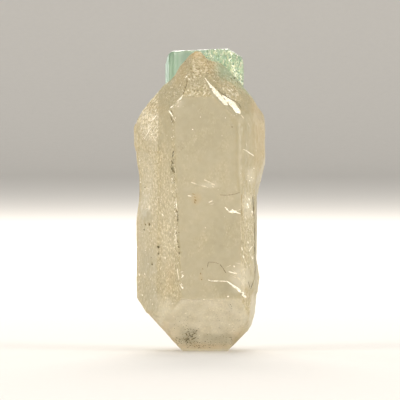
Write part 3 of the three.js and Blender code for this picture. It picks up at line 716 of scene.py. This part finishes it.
def markQuartz(mesh, grain, milk, dents):  # how etched, stained, shaded, milky and green it is at each vertex
    values = {name: [] for name in ("grain", "stain", "shade", "milk", "mint")}
    walls = [(normalOf(azimuth, 0), Vector(foot)) for azimuth, tilt, foot in tourmalineSides()]
    stray, strayWidth = quartz["wander"]
    (everywhere, fine), (onSmooth, broad) = quartz["unevenGrain"]
    calm = quartz["calmShoulder"]
    for vert, faceGrain, faceMilk in zip(mesh.vertices, grain, milk):
        point = vert.co / mm
        front = point.y < quartz["frontEnds"]
        wobble = 1 + stray * noise.noise(point / strayWidth)
        here = {name: areaAt(point, listed, wobble) if front else 0
                for name, listed in quartz["areas"].items()}
        here["mint"] = mintThrough(point, walls) if front else 0
        here["milk"] = max(here["milk"], faceMilk * wobble)
        for name, (strength, width, shift, shown) in quartz["rearClouds"].items():
            cloud = noise.fractal(point / width + Vector((shift, 0, 0)), 1, 2, 3)
            here[name] += strength * smooth(*quartz["rear"], point.y) * smooth(*shown, cloud)
        uneven = everywhere * noise.noise(point / fine)
        uneven += onSmooth * noise.noise(point / broad) * (1 - faceGrain)
        here["grain"] = min(1, max(0, faceGrain + uneven)) * (1 - here["polish"])
        if point.x < calm["right"] and point.z > calm["bottom"] and point.y < 0:
            patch = patchAt(point)
            here["grain"] = max(here["grain"] * calm["grain"], patch)
            here["milk"] = max(here["milk"], patch * quartz["patch"]["milk"])
        for middle, radius, depth in dents:
            if abs(point.z - middle.z) < 1 and (point - middle).length < radius:
                here["shade"] = quartz["pitShade"]
        for name, found in values.items():
            found.append(here[name])
    keepValues(mesh, values)


def dressQuartz(piece):  # white breaks and painted glints, veils, cracks, and clay with painted shade join the mesh
    tree = BVHTree.FromObject(piece, bpy.context.evaluated_depsgraph_get())
    dice = random.Random(11)
    bm = bmesh.new()
    for name, slot in (("bright", 1), ("dirtAndShade", 2), ("veils", 3), ("rust", 4)):
        for mark in quartz[name]:
            addSliver(bm, tree, mark, slot, dice)
    for line, width in quartz["cracks"]:
        for start, end in zip(line, line[1:]):
            addSliver(bm, tree, (*start, *end, width), 2, dice)
    scatter(bm, tree, quartz["strewn"], dice)
    joinOnto(piece, bm)


def milkyQuartz():  # clouded rock crystal, grown, then etched: light goes in, scatters and comes back cream
    material, add, shader, place = startMaterial("milky etched quartz")
    grain, stain, shade, milk, mint = (add("Attribute", {"attribute_name": name}).outputs["Fac"]
                                       for name in ("grain", "stain", "shade", "milk", "mint"))
    upright = add("Mapping", {"Scale": (1, 1, 0.6)}, {"Vector": place})
    clouds = add("TexNoise", {"Scale": 110, "Detail": 3.0}, {"Vector": place})  # 9 mm clouds
    mottle = add("TexNoise", {"Scale": 800, "Detail": 4.0}, {"Vector": place})  # 1.2 mm
    drawn = add("TexNoise", {"Scale": 2500, "Detail": 2.0, "Roughness": 0.6},
                {"Vector": upright})  # grains about 0.4 mm wide and 0.7 mm tall
    hillocks = add("TexVoronoi", {"Scale": 3000}, {"Vector": upright})  # 0.33 mm etch hillocks
    # the body colour: clouds, and a finer mottle within them
    calm = add("ValToRGB", {"stops": [(0.3, "#A39978"), (0.7, "#ADA384")]}, {"Fac": clouds})
    mottled = add("ValToRGB", {"stops": [(0.3, "#A09576"), (0.5, "#A79C7D"), (0.75, "#AEA385")]},
                  {"Fac": mottle})
    body = add("Mix", {"data_type": "RGBA"}, {0: drawn, 6: calm, 7: mottled})
    # etched faces: drawn grain, then a few dimples darkened with painted shade and pale painted glints,
    # picked among the hillocks
    etch = add("ValToRGB", {"stops": [(0.34, "#918362"), (0.48, "#B3A682"), (0.6, "#C2B591"),
                                      (0.7, "#EFE3C2")]}, {"Fac": drawn})
    picked = add("SeparateColor", {}, {"Color": hillocks.outputs["Color"]})
    dot = add("ValToRGB", {"stops": [(0.15, 1.0), (0.4, 0.0)]}, {"Fac": hillocks})
    for channel, tint, stops in (("Green", "#82744C", [(0.6, 0.0), (0.85, 0.7)]),
                                 ("Red", "#FFF5DA", [(0.66, 0.0), (0.95, 1.0)])):
        few = add("ValToRGB", {"stops": stops}, {"Fac": picked.outputs[channel]})
        spots = add("Math", {"operation": "MULTIPLY"}, {0: dot, 1: few})
        etch = add("Mix", {"data_type": "RGBA", 7: tint}, {0: spots, 6: etch})
    crust = add("TexVoronoi", {"Scale": 2500}, {"Vector": place})  # 0.4 mm crusts at the tip
    crustTint = add("SeparateColor", {}, {"Color": crust.outputs["Color"]})
    crusted = add("ValToRGB", {"stops": [(0.08, "#91835B"), (0.35, "#B0A27B"), (0.66, "#BFB18A"),
                                         (0.9, "#F1E6C9")]}, {"Fac": crustTint.outputs["Blue"]})
    heavy = add("ValToRGB", {"stops": [(0.7, 0.0), (0.95, 0.7)]}, {"Fac": grain})
    etch = add("Mix", {"data_type": "RGBA"}, {0: heavy, 6: etch, 7: crusted})
    most = add("Math", {"operation": "MULTIPLY", 1: 0.9}, {0: grain})
    colour = add("Mix", {"data_type": "RGBA"}, {0: most, 6: body, 7: etch})
    # milky, rusty, shaded and green places, one over another
    tinted = add("Math", {"operation": "MULTIPLY", 1: 0.55}, {0: mint})
    for tint, amount in (("#F6EFDB", milk), ("#BD995A", stain), ("#6F6A45", shade), ("#86A488", tinted)):
        colour = add("Mix", {"data_type": "RGBA", 7: tint}, {0: amount, 6: colour})
    # glassy hilltops and dull valleys on the etched faces, satin elsewhere
    uneven = add("ValToRGB", {"stops": [(0.1, 0.38), (0.55, 0.6)]}, {"Fac": hillocks})
    gloss = add("Mix", {"data_type": "RGBA", 6: "#A8A8A8"}, {0: grain, 7: uneven})
    bold = add("Math", {"operation": "MULTIPLY", 1: 0.8}, {0: grain})
    faint = add("Math", {"operation": "MULTIPLY", 1: 0.4}, {0: grain})
    fine = add("Bump", {"Distance": 0.06 * mm, "invert": True}, {"Height": hillocks, "Strength": bold})
    coarse = add("Bump", {"Distance": 0.12 * mm}, {"Height": mottle, "Strength": faint, "Normal": fine})
    fill(shader, {"IOR": 1.544, "Subsurface Weight": 0.4, "Subsurface Radius": (1.0, 0.8, 0.5),
                  "Subsurface Scale": 2 * mm, "Transmission Weight": 0.1},
         {"Base Color": colour, "Roughness": gloss, "Normal": coarse})
    depth = add("VolumeAbsorption", {"Color": "#E6DBBE", "Density": 12.0})
    fill(material.node_tree.nodes["Material Output"], links={"Volume": depth})
    return material


def quartzMarkFinishes():  # in the order of the slivers' slots
    return [speckledFinish(*settings) for settings in (
        # conchoidal chips and inner cracks: clean, glossy and nearly white, with 0.4 mm ripples; they also
        # serve as painted glints, and as the painted highlight along the step on the upper right
        ("fresh conchoidal quartz", 2600, [(0.32, "#D9CDB0"), (0.5, "#F2E9D2"), (0.65, "#FFFBEC")],
         [(0.3, 0.12), (0.7, 0.3)], 1.544),
        # clay and soot caught in pits and healed cracks, and painted shade: in the pits and as a thin shadow
        # line along the step on the upper right; dull and dark, with 1.1 mm clots
        ("dirt in healed cracks", 900, [(0.35, "#4E4428"), (0.65, "#82754F")], [(0.3, 0.5), (0.7, 0.8)]),
        # wisps of tiny bubbles under the surface: pale and soft, 0.8 mm
        ("pale bubble veil in quartz", 1300, [(0.35, "#B2A88B"), (0.65, "#DCD1B6")],
         [(0.3, 0.35), (0.7, 0.55)], 1.544),
        # rust that has crept along a crack: a soft brown smear, 0.7 mm
        ("iron stain in quartz", 1500, [(0.35, "#84703D"), (0.65, "#A89262")], [(0.3, 0.4), (0.7, 0.6)]),
    )]


tourmaline = {
    "meshDepth": 7,
    "centre": (-0.2, 2.6, 0),  # all in mm
    # each side face: azimuth and distance from the centre in mm
    "sides": [(-91, 9.45), (-62, 8.5), (-35, 6.6), (25, 6.1), (62, 8.3), (85, 9.25), (145, 6.9), (180, 6.3),
              (-155, 7.2)],
    "top": [
        (-90, 87.9, (5, 2.6, 72)),
        (88, 60, (5.3, 2.6, 72)),
        (88, 17, (8.9, 2.6, 69.3)),
        (-92, 14, (-9.55, 2.6, 68.6)),
        (-92, 48, (-8.9, 2.6, 70.7)),
    ],
    "base": 44,
    "gap": 0.12,  # room left round it in the quartz
    "softened": [((-12, -20, 68.5), (-5, 20, 75), 12), ((6, -20, 66), (12, 20, 75), 8)],
    "radius": 8,  # about its mean, which spaces the grooves
    "grooves": ((0.9, 0.05), (0.4, 0.025)),  # width and depth in mm
    "inset": 0.08,  # so that the ridges end at the true size
    # the broken right side and top: where they start, how far that strays, and their cells
    "broken": {"right": (-1.2, 1.8), "up": (56, 60), "wander": (2.5, 3), "cell": 0.8, "depth": 0.16},
    # where its top and right edge are painted paler, a painted highlight: x from the middle, or z
    "rim": {"right": (8.6, 9.3), "rightShare": 0.6, "top": (70.9, 71.6), "topRight": (69.8, 70.8)},
    # flakes on the broken side, partly painted glints, as the quartz's strewn slivers
    "strewn": [
        (0, (1,), 34, (-0.9, 2.6), (68, 71.3), (0.3, 0.8), (0.1, 0.24), 12),
        (0, (1,), 190, (0.5, 8.8), (65, 71.4), (0.35, 1.1), (0.06, 0.13), -38),
        (0, (1,), 230, (5.0, 8.9), (60, 69.5), (0.3, 1.0), (0.06, 0.14), -72),
        (0, (1,), 60, (2.5, 7), (62, 68), (0.25, 0.8), (0.08, 0.2), -42),
        (90, (1,), 60, (-3, 8), (60, 70), (0.25, 0.8), (0.08, 0.2), 80),
    ],
}


def tourmalineSides(more=0):  # its side faces, or those of the socket that it stands in
    centre = tourmaline["centre"]
    return [outwards(azimuth, 0, centre, reach + more) for azimuth, reach in tourmaline["sides"]]


def tourmalineEnd(more=0):  # the buried end, or the socket's
    return [(0, -90, (0, 0, tourmaline["base"] - more))]


def shapeTourmaline(piece):  # grooves along its length, a broken right side and top
    softenedMesh(piece, tourmaline["softened"])
    mesh = piece.data
    middleX, middleY = tourmaline["centre"][:2]
    chips, rim = tourmaline["broken"], tourmaline["rim"]
    stray, strayWidth = chips["wander"]
    values = {"broken": [], "rim": []}
    normals = [vert.normal.copy() for vert in mesh.vertices]
    for vert, normal in zip(mesh.vertices, normals):
        point = vert.co / mm
        side = 1 - smooth(0.3, 0.7, abs(normal.z))
        girth = math.atan2(point.y - middleY, point.x - middleX) * tourmaline["radius"]
        grooves = sum(noise.noise(Vector((girth / width, depth, 0))) * depth
                      for width, depth in tourmaline["grooves"])
        rough = smooth(*chips["right"], point.x + stray * noise.noise(point / strayWidth))
        rough *= smooth(*chips["up"], point.z)
        chipped = rough * (1 if normal.y < 0.3 else 0)
        lift = side * (1 - chipped) * grooves + chipped * chips["depth"] * etched(point, chips["cell"])
        vert.co += normal * (lift - tourmaline["inset"]) * mm
        values["broken"].append(rough)
        right = smooth(*rim["right"], point.x - middleX) * rim["rightShare"]
        corner = smooth(*rim["topRight"], point.z) * smooth(0, 3, point.x)
        values["rim"].append(max(smooth(*rim["top"], point.z), corner, right))
    keepValues(mesh, values)


def dressTourmaline(piece):  # bright flakes, partly painted glints, on the broken side
    tree = BVHTree.FromObject(piece, bpy.context.evaluated_depsgraph_get())
    bm = bmesh.new()
    scatter(bm, tree, tourmaline["strewn"], random.Random(5))
    joinOnto(piece, bm)


def mintTourmaline():  # elbaite as grown: glassy, grooved along its length, mint green
    material, add, shader, place = startMaterial("grooved mint tourmaline")
    broken, rim = (add("Attribute", {"attribute_name": name}).outputs["Fac"] for name in ("broken", "rim"))
    long = add("Mapping", {"Scale": (1, 1, 0.04)}, {"Vector": place})
    grooves = add("TexNoise", {"Scale": 1100, "Detail": 2.0}, {"Vector": long})  # 0.9 mm grooves
    zones = add("TexNoise", {"Scale": 250, "Detail": 1.0}, {"Vector": long})  # 4 mm growth zones
    slanted = add("Mapping", {"Rotation": (0, 0.7, 0), "Scale": (1, 1, 0.4)}, {"Vector": place})
    cells = add("TexVoronoi", {"Scale": 2600}, {"Vector": slanted})  # 0.4 by 1 mm broken cells
    zoned = add("ValToRGB", {"stops": [(0.38, "#80A286"), (0.5, "#88A88C"), (0.62, "#95B195")]},
                {"Fac": zones})
    streaked = add("ValToRGB", {"stops": [(0.4, "#7CA085"), (0.5, "#88A98E"), (0.6, "#97B398")]},
                   {"Fac": grooves})
    body = add("Mix", {"data_type": "RGBA", 0: 0.45}, {6: zoned, 7: streaked})
    picked = add("SeparateColor", {}, {"Color": cells.outputs["Color"]})
    # cells on the broken side: paler greens and cream, the palest painted glints on its fractures
    flecked = add("ValToRGB", {"stops": [(0.3, "#9DBB9C"), (0.5, "#AFC8A6"), (0.7, "#C6D1AC"),
                                         (0.9, "#EDE9CB")]}, {"Fac": picked.outputs["Red"]})
    mostly = add("Math", {"operation": "MULTIPLY", 1: 0.9}, {0: broken})
    thin = add("Math", {"operation": "MULTIPLY", 1: 0.28}, {0: rim})
    colour = add("Mix", {"data_type": "RGBA"}, {0: mostly, 6: body, 7: flecked})
    # the painted highlight along its top and right edge
    colour = add("Mix", {"data_type": "RGBA", 7: "#DBE5C2"}, {0: thin, 6: colour})
    gloss = add("Mix", {"data_type": "RGBA", 6: "#909090"}, {0: broken, 7: picked.outputs["Green"]})
    ribbed = add("Bump", {"Distance": 0.05 * mm, "Strength": 0.5}, {"Height": grooves})
    chipped = add("Bump", {"Distance": 0.16 * mm}, {"Height": cells, "Strength": broken, "Normal": ribbed})
    fill(shader, {"IOR": 1.63, "Transmission Weight": 0.55},
         {"Base Color": colour, "Roughness": gloss, "Normal": chipped})
    depth = add("VolumeAbsorption", {"Color": "#A8D8BC", "Density": 30.0})
    fill(material.node_tree.nodes["Material Output"], links={"Volume": depth})
    return material


def tourmalineFlake():  # loose cleavage flakes on the broken side, partly painted glints: bright, a little yellow, 1.1 mm
    tones = [(0.35, "#A9C7A4"), (0.5, "#D8DEB4"), (0.65, "#FFFFE6")]
    return speckledFinish("tourmaline flakes and painted glints", 900, tones, [(0.3, 0.3), (0.7, 0.12)], 1.63)


def dressed(piece, name, materials):  # a piece with all its marks gets its name and its finishes
    piece.name = name
    piece.data.name = name
    for material in materials:
        piece.data.materials.append(material)
    print(name, "has its marks and finishes,", len(piece.data.polygons), "faces")


quartzPiece, quartzFinishes = quartzShape()
remeshed(quartzPiece, quartz["meshDepth"])
print("quartz is cut,", len(quartzPiece.data.polygons), "faces")
shapeQuartz(quartzPiece, quartzFinishes)
socket = cutBlock(tourmalineSides(tourmaline["gap"]) + tourmalineEnd(tourmaline["gap"]))
joined(quartzPiece, [socket], "DIFFERENCE")
print("quartz is etched and has its socket")
dressQuartz(quartzPiece)
dressed(quartzPiece, "quartz", [milkyQuartz()] + quartzMarkFinishes())

tourmalinePiece = cutBlock(tourmalineSides() + tourmaline["top"] + tourmalineEnd())
remeshed(tourmalinePiece, tourmaline["meshDepth"])
shapeTourmaline(tourmalinePiece)
print("tourmaline is cut and grooved")
dressTourmaline(tourmalinePiece)
dressed(tourmalinePiece, "tourmaline", [mintTourmaline(), tourmalineFlake()])

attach(quartzPiece, "root")
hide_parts("quartz_crystal")
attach(tourmalinePiece, "root")
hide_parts("tourmaline_crystal")
print("both crystals ride on the root body")
